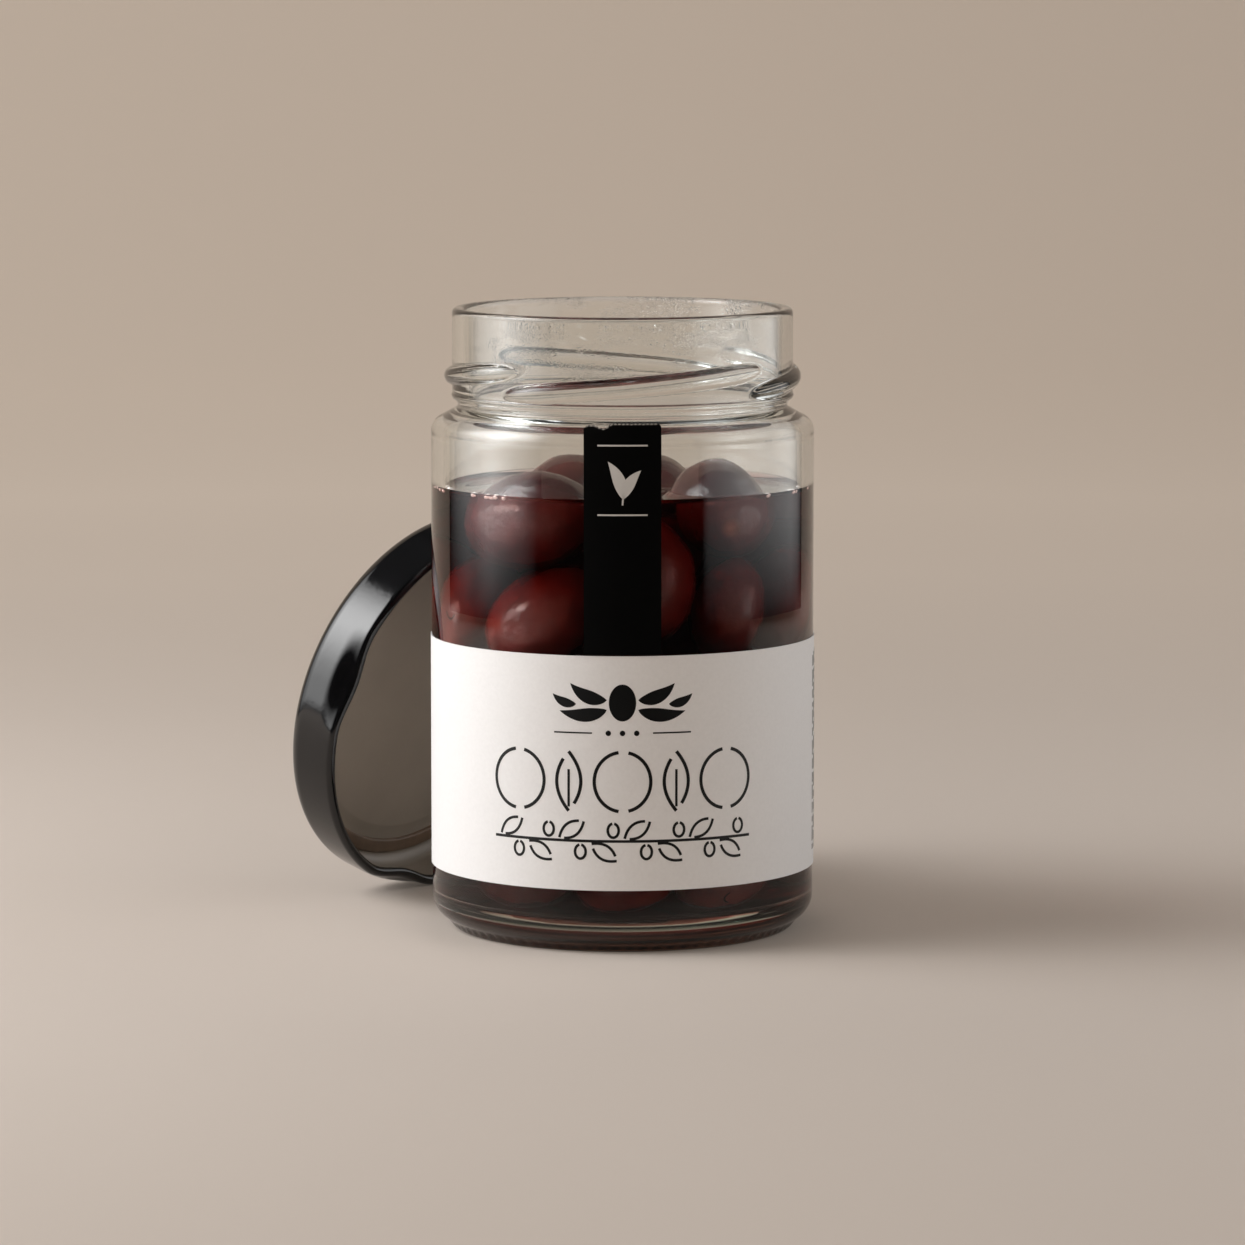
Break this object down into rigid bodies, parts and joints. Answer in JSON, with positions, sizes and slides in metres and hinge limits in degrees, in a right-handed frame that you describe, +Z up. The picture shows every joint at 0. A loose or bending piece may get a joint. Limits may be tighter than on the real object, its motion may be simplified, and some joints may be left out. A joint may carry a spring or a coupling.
{
  "type": "jar of olives",
  "caption": "Open threaded glass jar filled with dark olives, with a wrap-round label, a torn seal strip and its twist cap leaning on it.",
  "frame": {"origin": "centre of the whole set's footprint box, on the surface that it stands on", "axes": "+Z up along the jar's axis, -Y towards the jar's front with the seal strip, +X to the jar's right as seen from the front"},
  "size_m": [0.1, 0.1076, 0.117],
  "materials": {
    "glass": "clear polished flint glass",
    "olive_skin": "wet dark maroon olive skin",
    "white_paper": "satin white label paper",
    "black_paper": "satin black printed paper",
    "black_lacquer": "satin black lacquered tinplate, greige lacquer inside",
    "sealing_compound": "soft brown sealing compound"
  },
  "bodies": {
    "root": {"glass_jar": "glass", "olives": "olive_skin", "label": "white_paper", "seal_strip": "black_paper", "cap": "black_lacquer", "cap_seal": "sealing_compound"}
  },
  "joints": []
}
